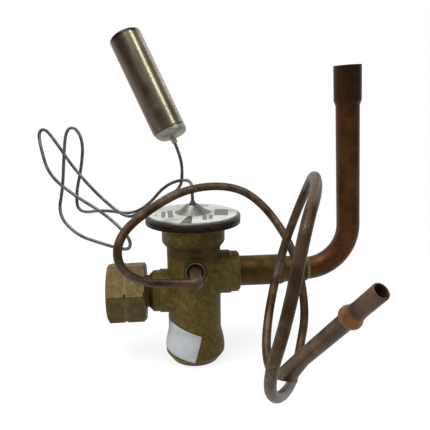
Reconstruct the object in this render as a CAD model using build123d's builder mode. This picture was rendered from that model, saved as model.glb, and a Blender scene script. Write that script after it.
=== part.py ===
"""Thermostatic expansion valve with a remote bulb and an external equalizer tube.

Millimetres. The origin is the centre of the body's flat base. +Z runs up the body's axis
to the power head, +X is the outlet, -X the swivel inlet nut, -Y the equalizer port.
"""

from build123d import *
from math import cos, radians, sin, tan
import os

os.makedirs("parts", exist_ok=True)

# ------------------------------------------------------------------ driving dimensions
# Clearances
braze_gap = 0.05          # radial gap of brazed and pressed joints
running_gap = 0.05        # radial gap of pieces that slide or turn in each other
stop_gap = 0.3            # face gap between a moving piece and its stop

# Body outside
body_height = 58.4
base_r = 10.15            # flat base, inside the foot's chamfer
foot_r = 12.65
foot_chamfer_z = 3.5
foot_band_z = 6.0
waist_r = 12.3
waist_z = 8.6
barrel_r = 11.15
barrel_z = 13.4           # where the flare meets the straight barrel
collar_r = 13.0
collar_height = 6.1
collar_cone = 2.5         # height of the cone under the collar
edge_round = 0.5          # rounding of the body's outside corners
flare_round = 3.0         # rounding where the foot's flare meets its neighbours

# Body arms
inlet_z = 30.5
inlet_ring_r = 9.15
inlet_ring_x = 14.4
inlet_step_r = 8.65
inlet_step_x = 17.2
inlet_face_x = 18.9
step_bevel = 0.4          # bevel between the two rings of an arm
outlet_drop = 20.45       # outlet axis below the top of the body
outlet_ring_r = 9.15
outlet_ring_x = 15.1
outlet_step_r = 8.65
outlet_step_x = 18.1
outlet_face_x = 18.95
outlet_face_r = 7.9

# Equalizer port on the front
port_drop = 16.2          # port axis below the top of the body
port_boss_r = 5.5
port_face_y = 12.3
port_counterbore_r = 4.2
port_counterbore_depth = 2.6
port_lip = 0.45
port_passage_y = 7.2      # drilling that climbs to the chamber under the diaphragm
port_passage_r = 1.1
port_seat_depth = 1.3     # how far the tube enters past the counterbore's floor

# Passages and chambers inside the body
inlet_passage_r = 3.2
tail_socket_x = 9.5
inlet_chamber_r = 5.4
seat_rise = 1.1           # underside of the orifice seat above the inlet axis
seat_r = 4.0
seat_height = 2.8
orifice_r = 1.3
orifice_mouth_r = 1.8
orifice_mouth_depth = 0.5
outlet_chamber_r = 3.6
outlet_passage_r = 4.0
stub_socket_x = 10.2
web_rise = 4.05           # underside of the guide web above the outlet axis
head_chamber_depth = 9.4
head_socket_r = 10.0

# Needle train: buffer plate, push rod, pin and its carrier
opening_travel = 0.8
rod_r = 1.5
rod_tip_r = 0.8
rod_step_rise = 1.6       # rod's thin end reaches this far above the orifice seat
rod_engagement = 1.75     # depth of the rod's seat in the buffer plate's hub
pin_stem_r = 1.2
pin_head_r = 1.9
pin_head_drop = 1.0       # pin's shoulder below the orifice seat
pin_cone = 2.3
carrier_drop = 5.0        # underside of the carrier below the inlet axis
carrier_height = 1.7
carrier_flat = 4.3        # distance of the carrier's three flow flats from the axis
spigot_r = 2.35           # spigots that centre the spring's ends
spigot_length = 1.9

# Superheat spring, its seat and the adjusting stem
wire_r = 0.45
spring_mean_r = 3.05
spring_turns = 6
spring_seat_rise = 1.85   # seat above the stem's collar at mid adjustment
spring_seat_height = 2.8
adjust_travel = 1.5       # seat travel each way
key_r = 6.0               # reach of the seat's two keys
key_width = 2.0
keyway_margin = 1.5       # keyway left above the seat at the end of its travel
stem_thread_r = 1.9
stem_thread_margin = 0.9  # thread left above the seat at the end of its travel
stem_shaft_r = 2.4
stem_collar_r = 3.0
stem_collar_height = 1.1
stem_foot_z = 3.6
stem_slot_width = 0.8
stem_slot_depth = 1.2

# Gland plug in the base
plug_r = 6.45
plug_foot_z = 2.4
plug_top_z = 9.35
plug_hex_flats = 8.0
plug_hex_depth = 2.5
ring_drop = 2.15          # stem seal below the plug's top
ring_section_r = 0.45
ring_groove_r = 1.55

# Inlet tail, strainer and swivel nut
tail_r = 6.75
tail_bore_r = 4.6
tail_flange_r = 8.3
tail_flange_x = 23.6
tail_flange_width = 2.4
tail_nose_r = 5.9
tail_nose_width = 1.4
strainer_wall = 0.35
strainer_r = 3.4
strainer_length = 12.0
strainer_rim_width = 1.0
strainer_slots = 8
strainer_slot_width = 0.7
strainer_slot_length = 8.0
nut_corner_r = 13.3
nut_turn = 12.8           # angle of one corner above the front, in degrees
nut_near_x = 20.2
nut_length = 15.7
nut_chamfer = 1.0
nut_chamfer_r = 11.5
nut_groove_offset = 8.1   # middle of the V groove, from the nut's body side
nut_groove_width = 1.6
nut_groove_r = 12.4
nut_thread_r = 8.75
nut_thread_length = 8.0
nut_relief_r = 9.2        # relief round the tail's flange
nut_lip = 3.1
nut_neck_gap = 0.1

# Outlet stub and tube
stub_r = 6.35
stub_wall = 0.8
stub_taper_x = 36.8
stub_socket_start_x = 38.8
stub_socket_r = 5.5
stub_end_x = 47.6
tube_r = 9.525 / 2
tube_wall = 0.81
tube_start_x = 39.6
tube_corner_x = 66.8
tube_bend_r = 18.0
tube_lean = 3.15          # lean of the upright towards the body, in degrees
upright_length = 83.7     # from the corner of the centre line to the open end
swage_length = 15.5
swage_taper = 2.0
swage_r = 5.5
swage_bore_r = 4.8
braze_width = 1.3

# Power head
head_r = 19.5
hub_r = 12.9
hub_height = 1.7
neck_bore_r = 7.2
neck_depth = 5.0
lower_flange = 1.5
recess_r = 11.4
recess_depth = 2.0
diaphragm_thickness = 0.15
seam_depth = 0.9          # groove of the welded rim
seam_width = 0.5
upper_flange = 0.95
rim_bevel = 1.1
rim_bevel_height = 0.65
crown_slope = 0.2
crown_wall = 0.85
cavity_margin = 1.4       # width on which the diaphragm is clamped
cone_r = 6.7
cone_height = 3.4
cone_top_r = 2.6
cone_dish_r = 1.5
cone_dish_depth = 0.4
plate_r = 10.8
plate_thickness = 0.7
plate_hub_r = 3.0
plate_hub_height = 2.3
collar_ring_r = 1.3
collar_ring_height = 1.9

# Labels
head_label_inner_r = 7.4
head_label_margin = 0.3
head_label_gap_middle = -101.0   # direction of the gap in the ring, in degrees
head_label_gap = 14.0
label_thickness = 0.12

# Sensing bulb: it leans up, back and away from the body
bulb_r = 6.35
bulb_length = 47.5
bulb_edge = 3.0
bulb_foot_x = -8.3
bulb_foot_y = 11.1
bulb_foot_rise = 27.4     # above the head's cone
bulb_lead = 7.5           # straight end of the capillary before the bulb
bulb_lean = Vector(-0.366, 0.241, 0.899)
bulb_nipple_r = 1.25
bulb_nipple_length = 1.6
capillary_r = 0.65

# Equalizer tube and its crimped end stub
equalizer_r = 1.6
end_stub_r = 2.38
end_stub_bore_r = 1.88
end_stub_length = 51.0
end_stub_mouth_x = 39.3
end_stub_mouth_y = -92.3
end_stub_mouth_rise = 22.1                    # above the port
end_stub_lead = 5.0                           # straight tube on each side of the crimp's foot
end_stub_run = Vector(0.302, -0.583, 0.754)   # direction of the stub towards its mouth
end_stub_fin = Vector(0.723, -0.374, -0.579)  # side on which the crimp's fin stands
crimp_length = 13.0
crimp_lobe_r = 2.15
crimp_fin_r = 0.55
crimp_fin_reach = 3.9
bead_r = 3.45
bead_width = 2.8
bead_fillet = 1.2         # length of the bead's run-out on each side
bead_crown = 0.4          # rise of the bead's rounded top
bead_from_mouth = 12.6

# ------------------------------------------------------------------ derived places
inlet_axis = Axis((0, 0, inlet_z), (1, 0, 0))
outlet_z = body_height - outlet_drop
outlet_axis = Axis((0, 0, outlet_z), (1, 0, 0))
collar_z = body_height - collar_height
port_z = body_height - port_drop
seat_z = inlet_z + seat_rise
seat_top_z = seat_z + seat_height
web_z = outlet_z + web_rise
web_top_z = body_height - head_chamber_depth
head_z = body_height + hub_height             # underside of the lower flange
flange_top_z = head_z + lower_flange
seam_top_z = flange_top_z + diaphragm_thickness
diaphragm_r = head_r - seam_depth
cavity_r = diaphragm_r - cavity_margin
upper_flange_z = flange_top_z + seam_width + upper_flange
crown_r = head_r - rim_bevel
crown_z = upper_flange_z + rim_bevel_height
cone_z = crown_z + crown_slope
cone_top_z = cone_z + cone_height
plug_bore_r = plug_r + braze_gap
plug_shoulder_z = plug_top_z + braze_gap
ring_z = plug_top_z - ring_drop
collar_foot_z = plug_top_z + running_gap
collar_top_z = collar_foot_z + stem_collar_height
spring_seat_z = collar_top_z + spring_seat_rise
spring_seat_top_z = spring_seat_z + spring_seat_height
keyway_top_z = spring_seat_top_z + adjust_travel + keyway_margin
stem_top_z = spring_seat_top_z + spigot_length + adjust_travel + stem_thread_margin
head_neck_r = head_socket_r - braze_gap
shaft_gap_r = stem_shaft_r + running_gap


def corner_radii(points):
    """Largest arc that each corner's two runs allow, as a share of the shorter run."""
    radii = []
    for before, corner, after in zip(points, points[1:], points[2:]):
        run_in = Vector(*corner) - Vector(*before)
        run_out = Vector(*after) - Vector(*corner)
        half_turn = radians(run_in.get_angle(run_out)) / 2
        radii.append(0.45 * min(run_in.length, run_out.length) / tan(half_turn))
    return radii


def print_route(name, points):
    """Print a formed tube's bend radii, smallest first."""
    radii = sorted(corner_radii(points))
    print(name, "bend radii", " ".join(f"{radius:.1f}" for radius in radii))


# ------------------------------------------------------------------ valve body
with BuildPart() as valve_body:
    with BuildSketch(Plane.XZ):
        with BuildLine():
            FilletPolyline(
                (0, 0), (base_r, 0), (foot_r, foot_chamfer_z), (foot_r, foot_band_z),
                (waist_r, waist_z), (barrel_r, barrel_z), (barrel_r, collar_z - collar_cone),
                (collar_r, collar_z), (collar_r, body_height), (0, body_height),
                radius=[
                    edge_round, 2 * edge_round, flare_round, flare_round, flare_round,
                    2 * edge_round, 2 * edge_round, edge_round / 2,
                ],
            )
            Line((0, body_height), (0, 0))
        make_face()
    revolve(axis=Axis.Z)

    # Inlet arm: two turned rings and a bevel, about the low axis
    with BuildSketch(Plane.XZ):
        with BuildLine():
            FilletPolyline(
                (0, inlet_z), (0, inlet_z + inlet_ring_r),
                (-inlet_ring_x, inlet_z + inlet_ring_r),
                (-inlet_ring_x - step_bevel, inlet_z + inlet_step_r),
                (-inlet_step_x, inlet_z + inlet_step_r),
                (-inlet_face_x, inlet_z + tail_r + braze_gap), (-inlet_face_x, inlet_z),
                radius=[0, edge_round, step_bevel / 2, edge_round, 0],
            )
            Line((-inlet_face_x, inlet_z), (0, inlet_z))
        make_face()
    revolve(axis=inlet_axis)

    # Outlet arm, about the high axis
    with BuildSketch(Plane.XZ):
        with BuildLine():
            FilletPolyline(
                (0, outlet_z), (0, outlet_z + outlet_ring_r),
                (outlet_ring_x, outlet_z + outlet_ring_r),
                (outlet_ring_x + step_bevel, outlet_z + outlet_step_r),
                (outlet_step_x, outlet_z + outlet_step_r),
                (outlet_face_x, outlet_z + outlet_face_r), (outlet_face_x, outlet_z),
                radius=[0, edge_round, step_bevel / 2, edge_round, 0],
            )
            Line((outlet_face_x, outlet_z), (0, outlet_z))
        make_face()
    revolve(axis=outlet_axis)

    # Equalizer boss with its counterbore
    with BuildSketch(Plane.XZ):
        with Locations((0, port_z)):
            Circle(port_boss_r)
    extrude(amount=port_face_y)
    with BuildSketch(Plane.XZ.offset(port_face_y)):
        with Locations((0, port_z)):
            Circle(port_counterbore_r)
    extrude(amount=-port_counterbore_depth, mode=Mode.SUBTRACT)
    port_rim = valve_body.edges().filter_by(GeomType.CIRCLE).filter_by(
        lambda edge: abs(edge.radius - port_counterbore_r) < 1e-6
        and abs(edge.arc_center.Y + port_face_y) < 1e-6
    )
    chamfer(port_rim, length=port_lip)
    with BuildSketch(Plane.XZ.offset(port_face_y)):
        with Locations((0, port_z)):
            Circle(equalizer_r + braze_gap)
    extrude(amount=port_passage_y - port_passage_r / 2 - port_face_y, mode=Mode.SUBTRACT)
    with BuildSketch(Plane.XY.offset(port_z)):
        with Locations((0, -port_passage_y)):
            Circle(port_passage_r)
    extrude(amount=body_height - port_z, mode=Mode.SUBTRACT)

    # Bores on the vertical axis, from the base up
    with BuildSketch(Plane.XZ):
        with BuildLine():
            Polyline(
                (0, 0), (plug_bore_r, 0), (plug_bore_r, plug_shoulder_z),
                (inlet_chamber_r, plug_shoulder_z), (inlet_chamber_r, seat_z),
                (seat_r + braze_gap, seat_z), (seat_r + braze_gap, seat_top_z),
                (outlet_chamber_r, seat_top_z), (outlet_chamber_r, web_z),
                (rod_r + running_gap, web_z), (rod_r + running_gap, web_top_z),
                (head_socket_r, web_top_z), (head_socket_r, body_height),
                (0, body_height), (0, 0),
            )
        make_face()
    revolve(axis=Axis.Z, mode=Mode.SUBTRACT)
    with BuildSketch(Plane.XY.offset(plug_shoulder_z)):
        Rectangle(2 * (key_r + running_gap), key_width + 2 * running_gap)
    extrude(amount=keyway_top_z - plug_shoulder_z, mode=Mode.SUBTRACT)

    # Inlet socket and passage, outlet socket and passage
    with BuildSketch(Plane.YZ.offset(-inlet_face_x)):
        with Locations((0, inlet_z)):
            Circle(tail_r + braze_gap)
    extrude(amount=inlet_face_x - tail_socket_x, mode=Mode.SUBTRACT)
    with BuildSketch(Plane.YZ.offset(-tail_socket_x)):
        with Locations((0, inlet_z)):
            Circle(inlet_passage_r)
    extrude(amount=tail_socket_x, mode=Mode.SUBTRACT)
    with BuildSketch(Plane.YZ.offset(outlet_face_x)):
        with Locations((0, outlet_z)):
            Circle(stub_r + braze_gap)
    extrude(amount=stub_socket_x - outlet_face_x, mode=Mode.SUBTRACT)
    with BuildSketch(Plane.YZ.offset(stub_socket_x)):
        with Locations((0, outlet_z)):
            Circle(outlet_passage_r)
    extrude(amount=-stub_socket_x, mode=Mode.SUBTRACT)
valve_body.part.label = "valve_body"
export_step(valve_body.part, "parts/valve_body.step")

# ------------------------------------------------------------------ orifice seat
with BuildPart() as orifice_seat:
    with BuildSketch(Plane.XZ):
        with BuildLine():
            Polyline(
                (orifice_mouth_r, seat_z), (seat_r, seat_z), (seat_r, seat_top_z),
                (orifice_r, seat_top_z), (orifice_r, seat_z + orifice_mouth_depth),
                (orifice_mouth_r, seat_z),
            )
        make_face()
    revolve(axis=Axis.Z)
orifice_seat.part.label = "orifice_seat"
export_step(orifice_seat.part, "parts/orifice_seat.step")

# ------------------------------------------------------------------ pin and carrier
carrier_z = inlet_z - carrier_drop
pin_head_z = seat_z - pin_head_drop
pin_top_z = pin_head_z + pin_cone
with BuildPart() as valve_pin:
    with BuildSketch(Plane.XZ):
        with BuildLine():
            Polyline(
                (0, carrier_z + braze_gap), (pin_stem_r, carrier_z + braze_gap),
                (pin_stem_r, pin_head_z), (pin_head_r, pin_head_z),
                (rod_tip_r, pin_top_z), (0, pin_top_z), (0, carrier_z + braze_gap),
            )
        make_face()
    revolve(axis=Axis.Z)
valve_pin.part.label = "valve_pin"
export_step(valve_pin.part, "parts/valve_pin.step")

with BuildPart() as pin_carrier:
    with BuildSketch(Plane.XY.offset(carrier_z)):
        Circle(inlet_chamber_r - running_gap)
        Circle(pin_stem_r + braze_gap, mode=Mode.SUBTRACT)
        with PolarLocations(carrier_flat + inlet_chamber_r / 2, 3):
            Rectangle(inlet_chamber_r, 2 * inlet_chamber_r, mode=Mode.SUBTRACT)
    extrude(amount=carrier_height)
    with BuildSketch(Plane.XY.offset(carrier_z)):
        Circle(spigot_r)
    extrude(amount=-spigot_length)
pin_carrier.part.label = "pin_carrier"
export_step(pin_carrier.part, "parts/pin_carrier.step")

# ------------------------------------------------------------------ push rod and buffer plate
plate_top_z = flange_top_z - braze_gap
plate_z = plate_top_z - plate_thickness
rod_step_z = seat_top_z + rod_step_rise
rod_top_z = plate_z - plate_hub_height + rod_engagement
with BuildPart() as push_rod:
    with BuildSketch(Plane.XZ):
        with BuildLine():
            Polyline(
                (0, pin_top_z), (rod_tip_r, pin_top_z), (rod_tip_r, rod_step_z - rod_r + rod_tip_r),
                (rod_r, rod_step_z), (rod_r, rod_top_z), (0, rod_top_z), (0, pin_top_z),
            )
        make_face()
    revolve(axis=Axis.Z)
push_rod.part.label = "push_rod"
export_step(push_rod.part, "parts/push_rod.step")

with BuildPart() as buffer_plate:
    with BuildSketch(Plane.XZ):
        with BuildLine():
            Polyline(
                (0, rod_top_z), (rod_r + braze_gap, rod_top_z),
                (rod_r + braze_gap, plate_z - plate_hub_height),
                (plate_hub_r, plate_z - plate_hub_height), (plate_hub_r, plate_z),
                (plate_r, plate_z), (plate_r, plate_top_z), (0, plate_top_z), (0, rod_top_z),
            )
        make_face()
    revolve(axis=Axis.Z)
buffer_plate.part.label = "buffer_plate"
export_step(buffer_plate.part, "parts/buffer_plate.step")

# ------------------------------------------------------------------ superheat spring
spring_foot_z = spring_seat_top_z + wire_r
spring_height = carrier_z - wire_r - spring_foot_z
with BuildPart() as superheat_spring:
    with BuildLine():
        coil = Helix(
            pitch=spring_height / spring_turns, height=spring_height,
            radius=spring_mean_r, center=(0, 0, spring_foot_z),
        )
    with BuildSketch(Plane(origin=coil @ 0, z_dir=coil % 0)):
        Circle(wire_r)
    sweep(is_frenet=True)
superheat_spring.part.label = "superheat_spring"
export_step(superheat_spring.part, "parts/superheat_spring.step")

# ------------------------------------------------------------------ spring seat and stem
with BuildPart() as spring_seat:
    with BuildSketch(Plane.XY.offset(spring_seat_z)):
        Circle(inlet_chamber_r - running_gap)
        Rectangle(2 * key_r, key_width)
        Circle(stem_thread_r + running_gap, mode=Mode.SUBTRACT)
    extrude(amount=spring_seat_height)
    with BuildSketch(Plane.XY.offset(spring_seat_top_z)):
        Circle(spigot_r)
        Circle(stem_thread_r + running_gap, mode=Mode.SUBTRACT)
    extrude(amount=spigot_length)
spring_seat.part.label = "spring_seat"
export_step(spring_seat.part, "parts/spring_seat.step")

with BuildPart() as adjusting_stem:
    with BuildSketch(Plane.XZ):
        with BuildLine():
            Polyline(
                (0, stem_foot_z), (stem_shaft_r, stem_foot_z),
                (stem_shaft_r, ring_z - ring_section_r - running_gap),
                (ring_groove_r, ring_z - ring_section_r - running_gap),
                (ring_groove_r, ring_z + ring_section_r + running_gap),
                (stem_shaft_r, ring_z + ring_section_r + running_gap),
                (stem_shaft_r, collar_foot_z), (stem_collar_r, collar_foot_z),
                (stem_collar_r, collar_top_z), (stem_thread_r, collar_top_z),
                (stem_thread_r, stem_top_z), (0, stem_top_z), (0, stem_foot_z),
            )
        make_face()
    revolve(axis=Axis.Z)
    with BuildSketch(Plane.XY.offset(stem_foot_z)):
        Rectangle(2 * stem_collar_r, stem_slot_width)
    extrude(amount=stem_slot_depth, mode=Mode.SUBTRACT)
adjusting_stem.part.label = "adjusting_stem"
export_step(adjusting_stem.part, "parts/adjusting_stem.step")

with BuildPart() as stem_ring:
    with BuildSketch(Plane.XZ):
        with Locations((ring_groove_r + ring_section_r, ring_z)):
            Circle(ring_section_r)
    revolve(axis=Axis.Z)
stem_ring.part.label = "stem_ring"
export_step(stem_ring.part, "parts/stem_ring.step")

# ------------------------------------------------------------------ gland plug
with BuildPart() as gland_plug:
    with BuildSketch(Plane.XY.offset(plug_foot_z)):
        Circle(plug_r)
        Circle(shaft_gap_r, mode=Mode.SUBTRACT)
    extrude(amount=plug_top_z - plug_foot_z)
    with BuildSketch(Plane.XY.offset(plug_foot_z)):
        RegularPolygon(plug_hex_flats / 2, 6, major_radius=False)
    extrude(amount=plug_hex_depth, mode=Mode.SUBTRACT)
gland_plug.part.label = "gland_plug"
export_step(gland_plug.part, "parts/gland_plug.step")

# ------------------------------------------------------------------ inlet tail and strainer
tail_nose_x = tail_flange_x + tail_flange_width
tail_end_x = tail_nose_x + tail_nose_width
with BuildPart() as inlet_tail:
    with BuildSketch(Plane.XZ):
        with BuildLine():
            Polyline(
                (-tail_socket_x, inlet_z + tail_bore_r), (-tail_socket_x, inlet_z + tail_r),
                (-tail_flange_x, inlet_z + tail_r), (-tail_flange_x, inlet_z + tail_flange_r),
                (-tail_nose_x, inlet_z + tail_flange_r), (-tail_end_x, inlet_z + tail_nose_r),
                (-tail_end_x, inlet_z + tail_bore_r), (-tail_socket_x, inlet_z + tail_bore_r),
            )
        make_face()
    revolve(axis=inlet_axis)
inlet_tail.part.label = "inlet_tail"
export_step(inlet_tail.part, "parts/inlet_tail.step")

strainer_mouth_x = tail_end_x - strainer_rim_width
with BuildPart() as inlet_strainer:
    with BuildSketch(Plane.XZ):
        with BuildLine():
            Polyline(
                (-tail_end_x, inlet_z + strainer_r - strainer_wall),
                (-tail_end_x, inlet_z + tail_bore_r - braze_gap),
                (-strainer_mouth_x, inlet_z + tail_bore_r - braze_gap),
                (-strainer_mouth_x, inlet_z + strainer_r),
                (strainer_length - tail_end_x, inlet_z + strainer_r),
                (strainer_length - tail_end_x, inlet_z),
                (strainer_length - strainer_wall - tail_end_x, inlet_z),
                (strainer_length - strainer_wall - tail_end_x,
                 inlet_z + strainer_r - strainer_wall),
                (-tail_end_x, inlet_z + strainer_r - strainer_wall),
            )
        make_face()
    revolve(axis=inlet_axis)
    slot_plane = Plane(
        origin=(strainer_length / 2 - tail_end_x, 0, inlet_z), x_dir=(0, 1, 0), z_dir=(1, 0, 0)
    )
    with BuildSketch(slot_plane):
        with PolarLocations(strainer_r, strainer_slots):
            Rectangle(3 * strainer_wall, strainer_slot_width)
    extrude(amount=strainer_slot_length / 2, both=True, mode=Mode.SUBTRACT)
inlet_strainer.part.label = "inlet_strainer"
export_step(inlet_strainer.part, "parts/inlet_strainer.step")

# ------------------------------------------------------------------ inlet nut
nut_far_x = nut_near_x + nut_length
nut_groove_x = nut_near_x + nut_groove_offset
with BuildPart() as inlet_nut:
    nut_plane = Plane(origin=(-nut_near_x, 0, inlet_z), x_dir=(0, -1, 0), z_dir=(-1, 0, 0))
    with BuildSketch(nut_plane):
        RegularPolygon(nut_corner_r, 6, rotation=nut_turn)
    extrude(amount=nut_length)
    # Turned ends and the V groove only meet the corners
    with BuildSketch(Plane.XZ):
        with BuildLine():
            Polyline(
                (-nut_near_x, inlet_z), (-nut_near_x, inlet_z + nut_chamfer_r),
                (-nut_near_x - nut_chamfer, inlet_z + nut_corner_r),
                (-nut_groove_x + nut_groove_width / 2, inlet_z + nut_corner_r),
                (-nut_groove_x, inlet_z + nut_groove_r),
                (-nut_groove_x - nut_groove_width / 2, inlet_z + nut_corner_r),
                (-nut_far_x + nut_chamfer, inlet_z + nut_corner_r),
                (-nut_far_x, inlet_z + nut_chamfer_r), (-nut_far_x, inlet_z),
                (-nut_near_x, inlet_z),
            )
        make_face()
    revolve(axis=inlet_axis, mode=Mode.INTERSECT)
    with BuildSketch(nut_plane):
        Circle(tail_r + nut_neck_gap)
    extrude(amount=nut_lip, mode=Mode.SUBTRACT)
    with BuildSketch(nut_plane.offset(nut_lip)):
        Circle(nut_relief_r)
    extrude(amount=nut_length - nut_lip - nut_thread_length, mode=Mode.SUBTRACT)
    with BuildSketch(nut_plane.offset(nut_length)):
        Circle(nut_thread_r)
    extrude(amount=-nut_thread_length, mode=Mode.SUBTRACT)
    nut_mouth = inlet_nut.edges().filter_by(GeomType.CIRCLE).filter_by(
        lambda edge: abs(edge.radius - nut_thread_r) < 1e-6
        and abs(edge.arc_center.X + nut_far_x) < 1e-6
    )
    chamfer(nut_mouth, length=nut_chamfer / 2)
inlet_nut.part.label = "inlet_nut"
export_step(inlet_nut.part, "parts/inlet_nut.step")

# ------------------------------------------------------------------ outlet stub
tube_bore_r = tube_r - tube_wall
socket_bore_r = tube_r + braze_gap
with BuildPart() as outlet_stub:
    with BuildSketch(Plane.XZ):
        with BuildLine():
            Polyline(
                (stub_socket_x, outlet_z + stub_r - stub_wall),
                (stub_socket_x, outlet_z + stub_r), (stub_taper_x, outlet_z + stub_r),
                (stub_socket_start_x, outlet_z + stub_socket_r),
                (stub_end_x, outlet_z + stub_socket_r), (stub_end_x, outlet_z + socket_bore_r),
                (stub_socket_start_x, outlet_z + socket_bore_r),
                (stub_taper_x, outlet_z + stub_r - stub_wall),
                (stub_socket_x, outlet_z + stub_r - stub_wall),
            )
        make_face()
    revolve(axis=outlet_axis)
outlet_stub.part.label = "outlet_stub"
export_step(outlet_stub.part, "parts/outlet_stub.step")

with BuildPart() as outlet_braze:
    with BuildSketch(Plane.XZ):
        with BuildLine():
            Polyline(
                (stub_end_x, outlet_z + socket_bore_r), (stub_end_x, outlet_z + stub_socket_r),
                (stub_end_x + braze_width, outlet_z + socket_bore_r),
                (stub_end_x, outlet_z + socket_bore_r),
            )
        make_face()
    revolve(axis=outlet_axis)
outlet_braze.part.label = "outlet_braze"
export_step(outlet_braze.part, "parts/outlet_braze.step")

# ------------------------------------------------------------------ outlet tube
lean = radians(tube_lean)
upright_run = Vector(-sin(lean), 0, cos(lean))
tube_corner = Vector(tube_corner_x, 0, outlet_z)
swage_start = tube_corner + upright_run * (upright_length - swage_length)
with BuildPart() as outlet_tube:
    with BuildLine():
        FilletPolyline(
            (tube_start_x, 0, outlet_z), tuple(tube_corner), tuple(swage_start),
            radius=tube_bend_r,
        )
    with BuildSketch(Plane.YZ.offset(tube_start_x)):
        with Locations((0, outlet_z)):
            Circle(tube_r)
            Circle(tube_bore_r, mode=Mode.SUBTRACT)
    sweep()
    # Swaged socket at the open end
    swage_plane = Plane(
        origin=swage_start, x_dir=(cos(lean), 0, sin(lean)), z_dir=(0, -1, 0)
    )
    with BuildSketch(swage_plane):
        with BuildLine():
            Polyline(
                (tube_bore_r, 0), (tube_r, 0), (swage_r, swage_taper),
                (swage_r, swage_length), (swage_bore_r, swage_length),
                (swage_bore_r, swage_taper), (tube_bore_r, 0),
            )
        make_face()
    revolve(axis=Axis(swage_start, upright_run))
outlet_tube.part.label = "outlet_tube"
export_step(outlet_tube.part, "parts/outlet_tube.step")

# ------------------------------------------------------------------ power head
with BuildPart() as head_lower_shell:
    with BuildSketch(Plane.XZ):
        with BuildLine():
            Polyline(
                (neck_bore_r, body_height - neck_depth), (head_neck_r, body_height - neck_depth),
                (head_neck_r, body_height), (hub_r, body_height), (hub_r, head_z),
                (head_r, head_z), (head_r, flange_top_z), (recess_r, flange_top_z),
                (recess_r, flange_top_z - recess_depth),
                (neck_bore_r, flange_top_z - recess_depth),
                (neck_bore_r, body_height - neck_depth),
            )
        make_face()
    revolve(axis=Axis.Z)
head_lower_shell.part.label = "head_lower_shell"
export_step(head_lower_shell.part, "parts/head_lower_shell.step")

with BuildPart() as diaphragm:
    with BuildSketch(Plane.XY.offset(flange_top_z)):
        Circle(diaphragm_r)
    extrude(amount=diaphragm_thickness)
diaphragm.part.label = "diaphragm"
export_step(diaphragm.part, "parts/diaphragm.step")

dish_z = cone_top_z - cone_dish_depth
with BuildPart() as head_upper_shell:
    with BuildSketch(Plane.XZ):
        with BuildLine():
            Polyline(
                (cavity_r, seam_top_z), (diaphragm_r, seam_top_z),
                (diaphragm_r, flange_top_z + seam_width), (head_r, flange_top_z + seam_width),
                (head_r, upper_flange_z), (crown_r, crown_z), (cone_r, cone_z),
                (cone_top_r, cone_top_z), (cone_dish_r, dish_z),
                (capillary_r + braze_gap, dish_z),
                (capillary_r + braze_gap, dish_z - crown_wall),
                (cone_top_r - crown_wall, dish_z - crown_wall),
                (cone_r - crown_wall, cone_z - crown_wall), (cavity_r, crown_z - crown_wall),
                (cavity_r, seam_top_z),
            )
        make_face()
    revolve(axis=Axis.Z)
head_upper_shell.part.label = "head_upper_shell"
export_step(head_upper_shell.part, "parts/head_upper_shell.step")


def crown_height(radius):
    """Height of the crown's gently sloping top at a radius."""
    return crown_z + (crown_r - radius) / (crown_r - cone_r) * (cone_z - crown_z)


head_label_outer_r = crown_r - head_label_margin
label_start = head_label_gap_middle + head_label_gap / 2
label_plane = Plane.XZ.rotated((0, 0, label_start))
with BuildPart() as head_label:
    with BuildSketch(label_plane):
        with BuildLine():
            Polyline(
                (head_label_inner_r, crown_height(head_label_inner_r)),
                (head_label_outer_r, crown_height(head_label_outer_r)),
                (head_label_outer_r, crown_height(head_label_outer_r) + label_thickness),
                (head_label_inner_r, crown_height(head_label_inner_r) + label_thickness),
                close=True,
            )
        make_face()
    revolve(axis=Axis.Z, revolution_arc=360 - head_label_gap)
head_label.part.label = "head_label"
export_step(head_label.part, "parts/head_label.step")

with BuildPart() as capillary_collar:
    with BuildSketch(Plane.XZ):
        with BuildLine():
            Polyline(
                (capillary_r + braze_gap, dish_z), (collar_ring_r, dish_z),
                (collar_ring_r, dish_z + collar_ring_height / 2),
                (capillary_r + 3 * braze_gap, dish_z + collar_ring_height),
                (capillary_r + braze_gap, dish_z + collar_ring_height),
                (capillary_r + braze_gap, dish_z),
            )
        make_face()
    revolve(axis=Axis.Z)
capillary_collar.part.label = "capillary_collar"
export_step(capillary_collar.part, "parts/capillary_collar.step")

# ------------------------------------------------------------------ sensing bulb
bulb_foot = Vector(bulb_foot_x, bulb_foot_y, cone_top_z + bulb_foot_rise)
bulb_plane = Plane(origin=bulb_foot, z_dir=bulb_lean)
with BuildPart() as sensing_bulb:
    with BuildSketch(bulb_plane):
        Circle(bulb_r)
    extrude(amount=bulb_length)
    fillet(sensing_bulb.edges().filter_by(GeomType.CIRCLE), radius=bulb_edge)
    with BuildSketch(bulb_plane):
        Circle(bulb_nipple_r)
    extrude(amount=-bulb_nipple_length)
    with BuildSketch(bulb_plane.offset(-bulb_nipple_length)):
        Circle(capillary_r + braze_gap)
    extrude(amount=2 * bulb_nipple_length, mode=Mode.SUBTRACT)
sensing_bulb.part.label = "sensing_bulb"
export_step(sensing_bulb.part, "parts/sensing_bulb.step")

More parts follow.
